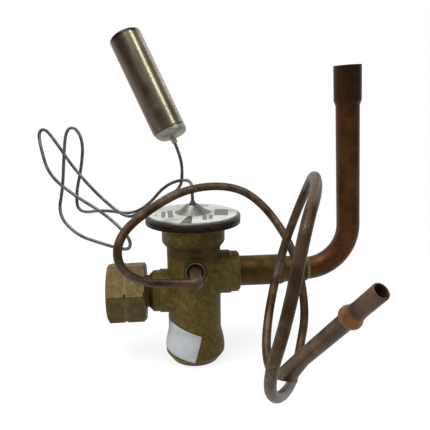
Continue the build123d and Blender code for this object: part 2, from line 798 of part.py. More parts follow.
# ------------------------------------------------------------------ capillary tube
capillary_bends = [       # x, y and rise above the cone's top
    (0, 0, 4.7), (-0.5, 4, 10.2), (-10.5, 7, 7.7), (-18.5, 5.5, -1.3), (-26, 6, -4.8),
    (-37, 9.5, -3.3), (-48, 11, -4.8), (-49, 13, 2.7), (-46.5, 16, 13.7), (-45.5, 19.5, 24.2),
    (-48.5, 21.5, 30.7), (-52.5, 20.5, 30.2), (-53.5, 17, 19.7), (-54, 12.5, 6.2),
    (-56, 8.5, -4.8), (-48, 3.5, -12.3), (-38, -1, -14.8), (-29, -7.5, -15.8),
    (-24.5, -9.8, -15.1), (-24.8, -9, -10.3), (-36, 0.3, -2.6), (-47.5, 6, 3.2),
    (-58.5, 9.5, 11.7), (-62, 14, 22.7), (-63.2, 17, 29.2), (-60.5, 17.8, 30.7),
    (-55.5, 15.3, 24.2), (-49, 12.7, 14.2), (-38.5, 8, 2.7), (-27.3, 2, -5.6),
    (-21.5, 1, -3.3), (-11.5, 2, 3.2), (-4, 7, 5.2), (-3, 8.3, 12.7),
]
capillary_route = [
    (0, 0, dish_z - crown_wall),
    *[(x, y, cone_top_z + rise) for x, y, rise in capillary_bends],
    tuple(bulb_foot - bulb_lean * bulb_lead), tuple(bulb_foot),
]
with BuildPart() as capillary_tube:
    with BuildLine():
        FilletPolyline(*capillary_route, radius=corner_radii(capillary_route))
    with BuildSketch(Plane.XY.offset(dish_z - crown_wall)):
        Circle(capillary_r)
    sweep()
capillary_tube.part.label = "capillary_tube"
export_step(capillary_tube.part, "parts/capillary_tube.step")
print_route("capillary_tube", capillary_route)

# ------------------------------------------------------------------ equalizer tube
end_stub_mouth = Vector(end_stub_mouth_x, end_stub_mouth_y, port_z + end_stub_mouth_rise)
crimp_foot = end_stub_mouth - end_stub_run * end_stub_length
equalizer_start_y = port_counterbore_depth + port_seat_depth - port_face_y
equalizer_bends = [       # x, y and rise above the port's axis
    (0, -23, 0), (-9, -24.5, 0.8), (-21, -26.5, 2.3), (-28.5, -32, 10.8),
    (-27.5, -29, 21.3), (-17.5, -16.5, 28.8), (-1.5, -6, 33.8), (18, 0, 32.3),
    (30, -5.5, 24.3), (39.5, -16.5, 8.8), (41.5, -27.5, -10.7), (37.5, -33.5, -24.7),
    (32, -52, -26.2), (20.5, -78.5, -15.2), (12, -93.5, 0.8), (17.5, -92, 15.8),
    (22.5, -89.5, 38.3), (29, -76, 43.3), (35, -51, 43.8), (39.5, -28, 35.8),
    (38.5, -18, 24.3), (32.5, -22, 10.8), (25.5, -31.5, -7.7), (21, -46, -18.7),
]
equalizer_route = [
    (0, equalizer_start_y, port_z),
    *[(x, y, port_z + rise) for x, y, rise in equalizer_bends],
    tuple(crimp_foot - end_stub_run * end_stub_lead),
    tuple(crimp_foot + end_stub_run * end_stub_lead),
]
with BuildPart() as equalizer_tube:
    with BuildLine():
        FilletPolyline(*equalizer_route, radius=corner_radii(equalizer_route))
    with BuildSketch(Plane(origin=equalizer_route[0], z_dir=(0, -1, 0))):
        Circle(equalizer_r)
    sweep()
equalizer_tube.part.label = "equalizer_tube"
export_step(equalizer_tube.part, "parts/equalizer_tube.step")
print_route("equalizer_tube", equalizer_route)

# ------------------------------------------------------------------ crimped end stub
crimp_plane = Plane(origin=crimp_foot, x_dir=end_stub_fin, z_dir=end_stub_run)
bead_middle = end_stub_length - bead_from_mouth
with BuildPart() as equalizer_stub:
    # Crimp: a round lobe on the small tube and a flat fin beside it
    with BuildSketch(crimp_plane):
        with BuildLine():
            Line((0, crimp_lobe_r), (crimp_fin_reach, crimp_fin_r))
            ThreePointArc(
                (crimp_fin_reach, crimp_fin_r), (crimp_fin_reach + crimp_fin_r, 0),
                (crimp_fin_reach, -crimp_fin_r),
            )
            Line((crimp_fin_reach, -crimp_fin_r), (0, -crimp_lobe_r))
            ThreePointArc((0, -crimp_lobe_r), (-crimp_lobe_r, 0), (0, crimp_lobe_r))
        make_face()
    with BuildSketch(crimp_plane.offset(crimp_length)):
        Circle(end_stub_r)
    loft()
    with BuildSketch(crimp_plane.offset(crimp_length)):
        Circle(end_stub_r)
    extrude(amount=end_stub_length - crimp_length)
    # Rolled bead
    bead_profile_plane = Plane(
        origin=crimp_foot + end_stub_run * bead_middle, x_dir=end_stub_fin,
        z_dir=end_stub_fin.cross(end_stub_run),
    )
    with BuildSketch(bead_profile_plane):
        with BuildLine():
            Polyline(
                (end_stub_bore_r, -bead_width / 2 - bead_fillet),
                (end_stub_r, -bead_width / 2 - bead_fillet),
                (bead_r - bead_crown, -bead_width / 2),
            )
            ThreePointArc(
                (bead_r - bead_crown, -bead_width / 2), (bead_r, 0), (bead_r - bead_crown, bead_width / 2)
            )
            Polyline(
                (bead_r - bead_crown, bead_width / 2), (end_stub_r, bead_width / 2 + bead_fillet),
                (end_stub_bore_r, bead_width / 2 + bead_fillet),
                (end_stub_bore_r, -bead_width / 2 - bead_fillet),
            )
        make_face()
    revolve(axis=Axis(crimp_foot, end_stub_run))
    with BuildSketch(crimp_plane):
        Circle(equalizer_r + braze_gap)
    extrude(amount=crimp_length, mode=Mode.SUBTRACT)
    with BuildSketch(crimp_plane.offset(crimp_length)):
        Circle(end_stub_bore_r)
    extrude(amount=end_stub_length - crimp_length, mode=Mode.SUBTRACT)
equalizer_stub.part.label = "equalizer_stub"
export_step(equalizer_stub.part, "parts/equalizer_stub.step")
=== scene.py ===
# %% [markdown]
# # A thermostatic expansion valve, finished and lit
#
# The valve's pieces come ready made, in metres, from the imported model. This lesson gives them
# their finishes, redraws the four that are bent, spun or squeezed by hand, adds the few thin
# things that a machined model leaves out (a paper label, the braze at the port, the screw
# thread in the nut) and sets it all on a white floor under four lamps.

# %% Load the valve
from math import cos, pi, radians, sin

import bmesh
import bpy
from mathutils import Matrix, Vector, noise


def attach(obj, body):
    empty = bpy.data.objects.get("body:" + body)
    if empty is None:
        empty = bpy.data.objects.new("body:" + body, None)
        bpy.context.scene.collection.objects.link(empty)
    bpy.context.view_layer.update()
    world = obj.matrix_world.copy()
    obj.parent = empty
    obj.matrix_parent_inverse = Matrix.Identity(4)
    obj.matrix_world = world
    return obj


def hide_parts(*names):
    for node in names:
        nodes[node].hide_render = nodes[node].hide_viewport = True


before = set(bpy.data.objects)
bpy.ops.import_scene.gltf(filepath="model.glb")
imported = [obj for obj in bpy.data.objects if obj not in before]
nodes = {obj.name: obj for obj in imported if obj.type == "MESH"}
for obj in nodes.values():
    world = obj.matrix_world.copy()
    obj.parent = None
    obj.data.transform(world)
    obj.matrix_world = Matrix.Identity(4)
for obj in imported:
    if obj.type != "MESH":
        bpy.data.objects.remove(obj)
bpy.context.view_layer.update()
MM = 0.001


def put_in_scene(name, data):
    """A new object that shows a mesh, a curve, a lamp or a camera."""
    made = bpy.data.objects.new(name, data)
    bpy.context.scene.collection.objects.link(made)
    return made


# %% [markdown]
# ## The camera
#
# The valve is small, so it is seen from close by and a little above. The camera is turned three
# times: a heading round the vertical, a downward pitch and a small roll. The lens is given in
# pixels of the square render first, where a length is easy to check, and is then turned into
# millimetres on a 36 mm sensor.

# %% Camera
CAMERA_PLACE = Vector((-7.95, -195.0, 107.7)) * MM
CAMERA_HEADING, CAMERA_PITCH, CAMERA_ROLL = radians(5.0), radians(13.0), radians(-0.6)
RENDER_SIDE, LENS_IN_PIXELS, SENSOR = 430, 487.0, 36.0


def aim_camera():
    """A camera at the viewing angle; its own -Z is the line of sight."""
    forward = Vector((
        sin(CAMERA_HEADING) * cos(CAMERA_PITCH),
        cos(CAMERA_HEADING) * cos(CAMERA_PITCH),
        -sin(CAMERA_PITCH),
    ))
    level = Vector((cos(CAMERA_HEADING), -sin(CAMERA_HEADING), 0))
    upward = level.cross(forward)
    right = level * cos(CAMERA_ROLL) + upward * sin(CAMERA_ROLL)
    up = upward * cos(CAMERA_ROLL) - level * sin(CAMERA_ROLL)
    data = bpy.data.cameras.new("camera")
    data.sensor_width = SENSOR
    data.lens = LENS_IN_PIXELS / RENDER_SIDE * SENSOR
    data.clip_start, data.clip_end = 0.01, 20
    camera = put_in_scene("camera", data)
    turn = Matrix((right, up, -forward)).transposed()
    camera.matrix_world = Matrix.Translation(CAMERA_PLACE) @ turn.to_4x4()
    bpy.context.scene.camera = camera
    return camera


camera = aim_camera()
print("lens", round(camera.data.lens, 2), "mm")

# %% [markdown]
# ## Shader maths in plain Python
#
# A finish is a net of small nodes. Wiring it by hand hides the idea, so one class wraps a
# socket and lets it stand in a sum or a product, and one method makes every other node: it
# takes the node's type, its settings (set first, because they decide which sockets exist)
# and the values or links of its sockets.

# %% A socket that can be calculated with


class Signal:
    """One output socket of a finish. Numbers and signals mix freely in an expression."""

    def __init__(self, finish, socket):
        self.finish = finish
        self.socket = socket

    def math(self, operation, *others, clamp=False):
        settings = {"operation": operation, "use_clamp": clamp}
        return self.finish.node("ShaderNodeMath", settings, dict(enumerate((self, *others))))

    def __add__(self, other):
        return self.math("ADD", other)

    def __sub__(self, other):
        return self.math("SUBTRACT", other)

    def __mul__(self, other):
        return self.math("MULTIPLY", other)

    def __rsub__(self, other):
        return (self * -1) + other

    __radd__ = __add__

    def clamped(self):
        return self.math("ADD", 0.0, clamp=True)

    def between(self, low, high):
        """0 below low, 1 above high, smooth in between."""
        settings = {"interpolation_type": "SMOOTHSTEP"}
        return self.finish.node("ShaderNodeMapRange", settings, {0: self, 1: low, 2: high})


# %% A finish: a material with its own few verbs


def srgb(red, green, blue):
    """A colour given as 0 to 255 on a screen, as the linear colour that a shader wants."""
    def linear(value):
        value /= 255
        return value / 12.92 if value <= 0.04045 else ((value + 0.055) / 1.055) ** 2.4
    return (linear(red), linear(green), linear(blue), 1.0)


class Finish:
    """The nodes of a new material, or of a new world, under construction."""

    def __init__(self, name, of_world=False):
        self.owner = bpy.data.worlds.new(name) if of_world else bpy.data.materials.new(name)
        self.owner.use_nodes = True
        self.tree = self.owner.node_tree
        self.tree.nodes.clear()

    def node(self, kind, settings=None, sockets=None, output=0):
        """Any node, by its type; its settings come first, then its sockets' values or links."""
        made = self.tree.nodes.new(kind)
        for name, value in (settings or {}).items():
            setattr(made, name, value)
        for name, value in (sockets or {}).items():
            if isinstance(value, Signal):
                self.tree.links.new(value.socket, made.inputs[name])
            else:
                made.inputs[name].default_value = value
        return Signal(self, made.outputs[output]) if made.outputs else None

    def place(self):
        """Position in millimetres, in the valve's own frame."""
        point = self.node("ShaderNodeTexCoord", output="Object")
        return self.node(
            "ShaderNodeVectorMath", {"operation": "SCALE"}, {0: point, "Scale": 1 / MM}
        )

    def squeezed(self, point, factors):
        """The same place measured with another scale along each axis."""
        return self.node("ShaderNodeVectorMath", {"operation": "MULTIPLY"}, {0: point, 1: factors})

    def along(self, point, axis):
        """Distance along a unit axis."""
        settings = {"operation": "DOT_PRODUCT"}
        return self.node("ShaderNodeVectorMath", settings, {0: point, 1: axis}, output="Value")

    def cloud(self, point, grain, detail=3.0, rough=0.55):
        """Soft noise from 0 to 1 whose blotches are about grain millimetres wide."""
        sockets = {"Vector": point, "Scale": 1 / grain, "Detail": detail, "Roughness": rough}
        return self.node("ShaderNodeTexNoise", {}, sockets, output="Fac")

    def dots(self, point, apart, size, patch, spread):
        """1 on scattered dots, about apart millimetres from each other, in some patches only.

        size is a dot's radius, full and faded, as a share of apart; patch is the width of the
        patches and spread is how strong their noise has to be, to begin and in full.
        """
        sockets = {"Vector": point, "Scale": 1 / apart, "Randomness": 1.0}
        nearest = self.node("ShaderNodeTexVoronoi", {}, sockets, output="Distance")
        return (1 - nearest.between(*size)) * self.cloud(point, patch).between(*spread)

    def mix(self, share, first, second):
        """Colour between two colours."""
        settings = {"data_type": "RGBA"}
        return self.node("ShaderNodeMix", settings, {0: share, 6: first, 7: second}, output=2)

    def edges(self, width):
        """1 on worn outside corners, 0 on flats: how far a rounded normal leaves the true one."""
        rounded = self.node("ShaderNodeBevel", {"samples": 6}, {"Radius": width * MM})
        true = self.node("ShaderNodeNewGeometry", output="Normal")
        settings = {"operation": "DOT_PRODUCT"}
        agree = self.node(
            "ShaderNodeVectorMath", settings, {0: rounded, 1: true}, output="Value"
        )
        return 1 - agree

    def shade_in_corners(self, reach):
        """Painted shade: 1 in corners where shade falls, 0 in the open."""
        settings = {"samples": 6}
        open_share = self.node(
            "ShaderNodeAmbientOcclusion", settings, {"Distance": reach * MM}, output="AO"
        )
        return 1 - open_share

    def bumped(self, height, depth):
        """A normal that is bumped by a height signal; depth is its full swing in millimetres."""
        sockets = {"Height": height, "Distance": depth * MM, "Strength": 1.0}
        return self.node("ShaderNodeBump", {}, sockets)

    def surface(self, **sockets):
        """The finished surface, from the Principled shader's own socket names."""
        named = {name.replace("_", " "): value for name, value in sockets.items()}
        shader = self.node("ShaderNodeBsdfPrincipled", {}, named)
        self.node("ShaderNodeOutputMaterial", {}, {"Surface": shader})
        return self.owner


# %% [markdown]
# ## The floor
#
# The valve stands on a plain white floor. To the eye the floor mostly glows, which keeps it
# white far away, and round the valve it is partly cloth, on which a soft shadow shows. Only
# rays that the eye follows see the glow, so it doesn't light the valve.

# %% Floor
FLOOR_SIDE = 6.0
FLOOR_COLOUR = srgb(250, 250, 250)
SHADOW_STRENGTH = 0.20
SHADOW_NEAR, SHADOW_FAR = 70.0, 260.0       # millimetres from the valve: full shadow, none


def rays(finish, *kinds):
    """1 for a ray of any of these kinds, 0 for every other ray."""
    first, *others = [finish.node("ShaderNodeLightPath", output=kind) for kind in kinds]
    for other in others:
        first = first.math("MAXIMUM", other)
    return first


def lay_floor():
    finish = Finish("studio_floor")
    distance = finish.node(
        "ShaderNodeVectorMath", {"operation": "LENGTH"}, {0: finish.place()}, output="Value"
    )
    shaded = (1 - distance.between(SHADOW_NEAR, SHADOW_FAR)) * SHADOW_STRENGTH
    eye = rays(finish, "Is Camera Ray", "Is Glossy Ray", "Is Transmission Ray")
    glow = finish.mix(eye, (0, 0, 0, 1), (1, 1, 1, 1))
    cloth = finish.node("ShaderNodeBsdfDiffuse", {}, {"Color": FLOOR_COLOUR})
    light = finish.node("ShaderNodeEmission", {}, {"Color": glow, "Strength": 1.0})
    both = finish.node("ShaderNodeMixShader", {}, {0: 1 - shaded, 1: cloth, 2: light})
    finish.node("ShaderNodeOutputMaterial", {}, {"Surface": both})
    mesh = bpy.data.meshes.new("studio_floor")
    half = FLOOR_SIDE / 2
    corners = [(-half, -half, 0), (half, -half, 0), (half, half, 0), (-half, half, 0)]
    mesh.from_pydata(corners, [], [(0, 1, 2, 3)])
    mesh.materials.append(finish.owner)
    floor = put_in_scene("studio_floor", mesh)


lay_floor()
print("floor", FLOOR_SIDE, "m")

# %% [markdown]
# ## The lamps
#
# One large soft lamp hangs over the valve and one stands on its left, which mirrors don't see.
# Rounded metal is drawn by what it mirrors: two narrow strips behind the viewer's right
# shoulder and behind the valve lay a bright line and a fainter one along the steel bulb.

# %% Lamps


def lamp(name, place, size, power, target=(0, 0, 50)):
    """A soft rectangular lamp that looks at a point of the valve; lengths in millimetres."""
    data = bpy.data.lights.new(name, "AREA")
    data.shape = "RECTANGLE"
    data.size, data.size_y = size[0] * MM, size[1] * MM
    data.energy = power
    made = put_in_scene(name, data)
    place, target = Vector(place) * MM, Vector(target) * MM
    turn = (target - place).to_track_quat("-Z", "Y")
    made.matrix_world = Matrix.Translation(place) @ turn.to_matrix().to_4x4()
    made.visible_camera = False
    return made


BULB_MIDDLE = (-17, 17, 115)
lamp("top_lamp", (-150, -120, 650), (500, 400), 4.6)
left_lamp = lamp("left_lamp", (-600, -250, 250), (200, 450), 3.6)
left_lamp.visible_glossy = False
lamp("front_strip", (300, -275, 541), (56, 420), 1.35, BULB_MIDDLE)
lamp("back_strip", (388, 360, 400), (20, 420), 0.22, BULB_MIDDLE)
print("lamps", [light.name for light in bpy.data.lights])

# %% [markdown]
# ## The room
#
# The eye sees white all round. The light that reaches the valve comes from a plain grey room,
# and metal mirrors that room as a darker grey in front of the valve and as white behind it, so
# the sides of a tube are drawn dark against the white.

# %% Room
ROOM_GREY = 0.36                            # as it lights the valve
MIRRORED_GREY = 0.21                        # as metal mirrors it, in front of the valve
WHITE_BEHIND = (0.0, 0.6)                   # how far a direction points back: grey, white


def paint_room():
    """A white backdrop for the eye, a plain grey room for the light that reaches the valve."""
    finish = Finish("studio_room", of_world=True)
    bpy.context.scene.world = finish.owner
    direction = finish.node("ShaderNodeTexCoord", output="Generated")
    behind = finish.along(direction, (0.0, 1.0, 0.0)).between(*WHITE_BEHIND)
    reflected = rays(finish, "Is Glossy Ray", "Is Transmission Ray")
    share = rays(finish, "Is Camera Ray").math("MAXIMUM", reflected * behind)
    grey = finish.mix(reflected, (ROOM_GREY,) * 3 + (1,), (MIRRORED_GREY,) * 3 + (1,))
    colour = finish.mix(share, grey, (1, 1, 1, 1))
    backdrop = finish.node("ShaderNodeBackground", {}, {"Color": colour, "Strength": 1.0})
    finish.node("ShaderNodeOutputWorld", {}, {"Surface": backdrop})


paint_room()
scene = bpy.context.scene
scene.view_settings.view_transform = "Standard"
print("view", scene.view_settings.view_transform)

# %% [markdown]
# ## Blasted brass
#
# The body is forged brass, blasted with grit and then left on a shelf for years: an olive
# brown skin with a fine speckle, dark pits, painted shade in the corners and paler, rubbed
# edges. Three sizes of noise make the speckle, the blotches and the slow stains. The same
# recipe serves the nut with other colours, so it is a function of those colours and of one
# spot: a mask with its colour, such as the painted shade round the neck, under the collar,
# and the painted reflection in the nut's groove.

# %% Brass finish
NECK_FOOT, NECK_TOP = (45.5, 49.0), (53.0, 56.0)    # heights where the painted shade comes and goes
NUT_GROOVE_X = -28.3
# dark of the pits, and of the painted shade in corners
BRASS_PITS_AND_SHADE = srgb(40, 30, 8)


def blasted_brass(name, colours, spot, edge_width=0.5):
    """Brass in four colours: dark, middle, pale and stain."""
    dark, middle, pale, stain = colours
    finish = Finish(name)
    place = finish.place()
    speckle = finish.cloud(place, 0.6, detail=4.0, rough=0.8)
    blotch = finish.cloud(place, 2.6, detail=3.0)
    cloud = finish.cloud(place, 11.0, detail=2.0)
    pits = finish.dots(place, 1.7, (0.05, 0.16), 5.0, (0.50, 0.62))
    colour = finish.mix(speckle.between(0.40, 0.60), dark, middle)
    colour = finish.mix(blotch.between(0.45, 0.75) * 0.55, colour, pale)
    colour = finish.mix(cloud.between(0.42, 0.72) * 0.6, colour, stain)
    worn = (finish.edges(edge_width) * 6).clamped() * blotch.between(0.3, 0.6)
    colour = finish.mix(worn * 0.6, colour, pale)
    # painted shade: darker in corners, from ambient occlusion
    corner_shade = finish.shade_in_corners(2.0).between(0.15, 0.75)
    colour = finish.mix((pits * 0.8 + corner_shade * 0.35).clamped(), colour, BRASS_PITS_AND_SHADE)
    mask, tint = spot(finish, place)
    colour = finish.mix(mask, colour, tint)
    height = speckle * 0.35 + blotch * 0.4 - pits * 0.8
    return finish.surface(
        Base_Color=colour,
        Metallic=0.5 + worn * 0.3 - pits * 0.3,
        Roughness=0.50 + speckle * 0.16 - worn * 0.1,
        Specular_IOR_Level=0.22,
        Normal=finish.bumped(height, 0.10),
    )


def shade_under_collar(finish, place):
    """Painted shade: a dark band round the neck, under the collar."""
    height = finish.along(place, (0, 0, 1))
    ragged = height + finish.cloud(place, 4.0) * 3.0
    neck = ragged.between(*NECK_FOOT) * (1 - ragged.between(*NECK_TOP))
    return neck * 0.55, srgb(52, 36, 8)


def groove_reflection(finish, place):
    """Painted reflection: the groove round the nut, painted pale where it mirrors the light."""
    offset = (finish.along(place, (1, 0, 0)) - NUT_GROOVE_X).math("ABSOLUTE")
    return (1 - offset.between(0.2, 0.9)) * 0.35, srgb(118, 102, 62)


BODY_COLOURS = srgb(66, 54, 22), srgb(100, 86, 40), srgb(124, 110, 62), srgb(76, 61, 24)
NUT_COLOURS = srgb(66, 53, 28), srgb(96, 80, 46), srgb(116, 100, 64), srgb(76, 60, 34)
body_brass = blasted_brass("body_brass", BODY_COLOURS, shade_under_collar)
nut_brass = blasted_brass("nut_brass", NUT_COLOURS, groove_reflection, edge_width=0.9)
print("finishes", body_brass.name, nut_brass.name)

# %% [markdown]
# ## Turned brass, springs and rubber
#
# The pieces inside are seldom seen, only through the open nut or under the base, yet each
# has a finish of its kind: bright brass or steel with fine tool rings, or black rubber. The
# rings are noise that changes fast up the valve and slowly across it.

# %% Finishes of the inner pieces
TOOL_RINGS = (0.2, 0.2, 1.0)                # scale of the noise along each axis


def turned_metal(name, colour, shade, rough):
    """Machined metal with fine tool rings and a slow change of shade."""
    finish = Finish(name)
    place = finish.place()
    rings = finish.cloud(finish.squeezed(place, TOOL_RINGS), 0.25, detail=2.0)
    haze = finish.cloud(place, 3.0)
    mixed = finish.mix(haze.between(0.35, 0.7), colour, shade)
    return finish.surface(
        Base_Color=mixed, Metallic=1.0, Roughness=rough + haze * 0.12,
        Normal=finish.bumped(rings, 0.01),
    )


def rubber(name):
    """Black rubber with a faint grey bloom."""
    finish = Finish(name)
    place = finish.place()
    bloom = finish.cloud(place, 0.8)
    colour = finish.mix(bloom, srgb(18, 18, 18), srgb(36, 35, 33))
    return finish.surface(Base_Color=colour, Roughness=0.6 + bloom * 0.15)


inner_brass = turned_metal("inner_brass", srgb(214, 176, 108), srgb(176, 140, 80), 0.28)
spring_steel = turned_metal("spring_steel", srgb(190, 190, 192), srgb(150, 150, 154), 0.25)
seal_rubber = rubber("seal_rubber")
print("inner finishes done")

# %% [markdown]
# ## Old copper
#
# The tubes are copper with a brown skin of oxide. Where hands have rubbed them a pinkish
# metal shows, and in still places the oxide turns olive. The skin is only partly metallic,
# which gives it the greyish satin highlight of dull copper. Three tubes have a spot of their
# own: flux at the port's elbow, black at the open end of the upright, a painted highlight on
# the bead.

# %% Copper finish
ELBOW = (1.5, -19.0, 42.0)                  # where the equalizer tube leaves the port
FLUX_REACH = (7.0, 8.6)                     # distance from there: full, none
SWAGE_FOOT = 109.5                          # height in millimetres
STUB_FOOT, STUB_MOUTH = Vector((23.9, -62.56, 25.84)), Vector((39.85, -92.3, 64.55))
STUB_AXIS = (STUB_MOUTH - STUB_FOOT).normalized()
BEAD_FOOT, BEAD_TOP = (36.8, 37.4), (40.2, 42.4)    # along the stub: the painted highlight comes and goes
COPPER_SPOTS = srgb(20, 14, 8)


def old_copper(name, colours, olive_share=0.5, rough=0.36, spot=None):
    """Copper in four colours: skin, deep, olive and rubbed."""
    skin, deep, olive, rubbed = colours
    finish = Finish(name)
    place = finish.place()
    grain = finish.cloud(place, 0.5, detail=4.0, rough=0.65)
    patch = finish.cloud(place, 6.5, detail=3.0)
    drift = finish.cloud(finish.squeezed(place, (1.0, 1.0, 0.35)), 9.0, detail=3.0)
    spots = finish.dots(place, 2.4, (0.04, 0.13), 8.0, (0.52, 0.64))
    colour = finish.mix(patch.between(0.38, 0.62), deep, skin)
    colour = finish.mix(drift.between(0.48, 0.66) * olive_share, colour, olive)
    handled = finish.cloud(place, 14.0, detail=2.0).between(0.50, 0.70)
    colour = finish.mix(handled * (grain.between(0.35, 0.7) * 0.6), colour, rubbed)
    colour = finish.mix(spots * 0.8, colour, COPPER_SPOTS)
    if spot is not None:
        mask, tint = spot(finish, place)
        colour = finish.mix(mask, colour, tint)
    return finish.surface(
        Base_Color=colour,
        Metallic=0.6 + handled * 0.25,
        Roughness=rough + grain * 0.14 + patch * 0.08,
        Specular_IOR_Level=0.25,
        Normal=finish.bumped(grain * 0.5 + patch, 0.02),
    )


def near_port(finish, place):
    """Grey flux and braze on the thick elbow that leaves the port."""
    away = finish.node(
        "ShaderNodeVectorMath", {"operation": "DISTANCE"}, {0: place, 1: ELBOW}, output="Value"
    )
    ragged = away + finish.cloud(place, 1.2) * 1.5
    return (1 - ragged.between(*FLUX_REACH)) * 0.9, srgb(82, 74, 58)


def dark_mouth(finish, place):
    """The widened end of the upright, blackened by an old flame."""
    ragged = finish.along(place, (0, 0, 1)) + finish.cloud(place, 3.0) * 6.0
    return ragged.between(SWAGE_FOOT - 5, SWAGE_FOOT + 4) * 0.65, srgb(26, 14, 2)


def bead_highlight(finish, place):
    """Painted highlight: bright copper on the rolled bead."""
    height = finish.along(place, tuple(STUB_AXIS)) - STUB_AXIS.dot(STUB_FOOT)
    ragged = height + finish.cloud(place, 1.0) * 0.6
    band = ragged.between(*BEAD_FOOT) * (1 - ragged.between(*BEAD_TOP))
    return band * 0.85, srgb(126, 86, 52)


RED_BROWN = srgb(72, 40, 12), srgb(48, 25, 5), srgb(60, 45, 14), srgb(118, 88, 60)
GREY_BROWN = srgb(76, 58, 42), srgb(48, 32, 18), srgb(64, 56, 38), srgb(132, 118, 102)
PALE_BROWN = srgb(92, 72, 58), srgb(66, 50, 36), srgb(76, 70, 54), srgb(122, 104, 90)
OLIVE_BROWN = srgb(72, 54, 16), srgb(48, 34, 6), srgb(78, 64, 22), srgb(100, 76, 44)
copper = old_copper("copper", RED_BROWN, olive_share=0.6, spot=dark_mouth)
tube_copper = old_copper("tube_copper", GREY_BROWN, spot=near_port)
crimp_copper = old_copper("crimp_copper", PALE_BROWN, spot=bead_highlight)
stub_copper = old_copper("stub_copper", OLIVE_BROWN, olive_share=0.8, rough=0.42)
print("copper finishes done")

# %% [markdown]
# ## Steel
#
# The bulb is drawn stainless tube with long streaks, a painted brown reflection on one side,
# a dull, scuffed foot and painted shade along its top edge. Its grain is in its colour and
# roughness only: a fine bump would sparkle under a hard, narrow lamp. The power head is
# pressed steel: grey on top, stained brown and black in the weld groove of its rim, with
# painted shade in its corners. The capillary is dull grey tube.

# %% Steel finishes
BULB_FOOT, BULB_TOP = Vector((-7.1, 10.9, 93.1)), Vector((-26.9, 23.1, 137.0))
BULB_LEAN = (BULB_TOP - BULB_FOOT).normalized()
BULB_AXIS_FOOT = BULB_FOOT.dot(BULB_LEAN)
BULB_REFLECTION_SIDE = (-0.90, -0.28, -0.33)         # the side with the painted brown reflection
BULB_AXIS_MIDDLE = ((BULB_FOOT + BULB_TOP) / 2).dot(Vector(BULB_REFLECTION_SIDE))
LONG_GRAIN = 0.94                           # 0 is even noise, 1 is noise without an end
FOOT_SCUFF, TOP_SHADE_BAND = (4.2, 6.0), (46.3, 47.4)   # heights above the bulb's foot: the scuff, and the painted shade at the top
RIM_GROOVE, RIM_TOP = (61.6, 62.2), (63.15, 63.75)  # heights on the power head


def drawn_steel(name):
    """Stainless tube: long grain, dark specks, painted brown reflection, painted shade on top."""
    finish = Finish(name)
    place = finish.place()
    height = finish.along(place, tuple(BULB_LEAN))
    shift = finish.node(
        "ShaderNodeVectorMath", {"operation": "SCALE"},
        {0: tuple(BULB_LEAN), "Scale": height * -LONG_GRAIN},
    )
    grainy = finish.node("ShaderNodeVectorMath", {"operation": "ADD"}, {0: place, 1: shift})
    grain = finish.cloud(grainy, 0.35, detail=4.0, rough=0.7)
    streak = finish.cloud(grainy, 2.2, detail=3.0)
    tint = finish.cloud(place, 9.0, detail=2.0)
    specks = finish.dots(place, 2.1, (0.05, 0.12), 6.0, (0.50, 0.62))
    colour = finish.mix(streak.between(0.3, 0.7), srgb(116, 112, 92), srgb(146, 142, 122))
    colour = finish.mix(tint.between(0.44, 0.66) * 0.5, colour, srgb(104, 92, 78))
    # painted reflection: brown on one side of the bulb
    brown_reflection = finish.along(place, BULB_REFLECTION_SIDE) - BULB_AXIS_MIDDLE
    brown_reflection = (brown_reflection + tint * 5).between(3.6, 7.6)
    colour = finish.mix(brown_reflection * 0.8, colour, srgb(88, 70, 60))
    up = height - BULB_AXIS_FOOT
    scuffed = 1 - (up + streak * 2).between(*FOOT_SCUFF)
    colour = finish.mix(scuffed * 0.8, colour, srgb(146, 144, 131))
    dark_line = scuffed.between(0.02, 0.5) * (1 - scuffed.between(0.5, 0.98))
    colour = finish.mix(dark_line * 0.9, colour, srgb(44, 40, 30))
    # painted shade along the domed top edge
    top_shade = (up + streak * 1.2).between(*TOP_SHADE_BAND)
    colour = finish.mix(top_shade * 0.94, colour, srgb(26, 23, 16))
    colour = finish.mix(specks * 0.7, colour, srgb(60, 54, 44))
    return finish.surface(
        Base_Color=colour, Metallic=1.0,
        Roughness=0.26 + grain * 0.02 + streak * 0.05 + scuffed * 0.20,
    )


def pressed_steel(name):
    """The power head: grey on its crown, brown to black down in the welded rim."""
    finish = Finish(name)
    place = finish.place()
    height = finish.along(place, (0, 0, 1))
    grain = finish.cloud(finish.squeezed(place, (1, 1, 3)), 0.6, detail=4.0, rough=0.65)
    stain = finish.cloud(place, 4.0, detail=3.0)
    low = 1 - height.between(*RIM_TOP)
    colour = finish.mix(stain.between(0.35, 0.7), srgb(120, 121, 115), srgb(94, 93, 84))
    rim = finish.mix(stain.between(0.35, 0.65), srgb(56, 45, 36), srgb(30, 22, 15))
    rim = finish.mix(1 - height.between(*RIM_GROOVE), rim, srgb(24, 17, 11))
    colour = finish.mix(low, colour, rim)
    # painted shade: darker in corners, from ambient occlusion
    corner_shade = finish.shade_in_corners(1.5).between(0.2, 0.7)
    colour = finish.mix(corner_shade * 0.9, colour, srgb(24, 18, 10))
    worn = (finish.edges(0.35) * 5).clamped() * stain.between(0.3, 0.6)
    colour = finish.mix(worn * 0.6, colour, srgb(132, 124, 104))
    return finish.surface(
        Base_Color=colour, Metallic=0.85, Roughness=0.33 + grain * 0.2,
        Normal=finish.bumped(grain, 0.015),
    )


def wire_steel(name):
    """The capillary: dull, even grey."""
    finish = Finish(name)
    place = finish.place()
    haze = finish.cloud(place, 3.0)
    colour = finish.mix(haze.between(0.35, 0.65), srgb(70, 70, 67), srgb(104, 104, 100))
    return finish.surface(Base_Color=colour, Metallic=1.0, Roughness=0.38 + haze * 0.15)


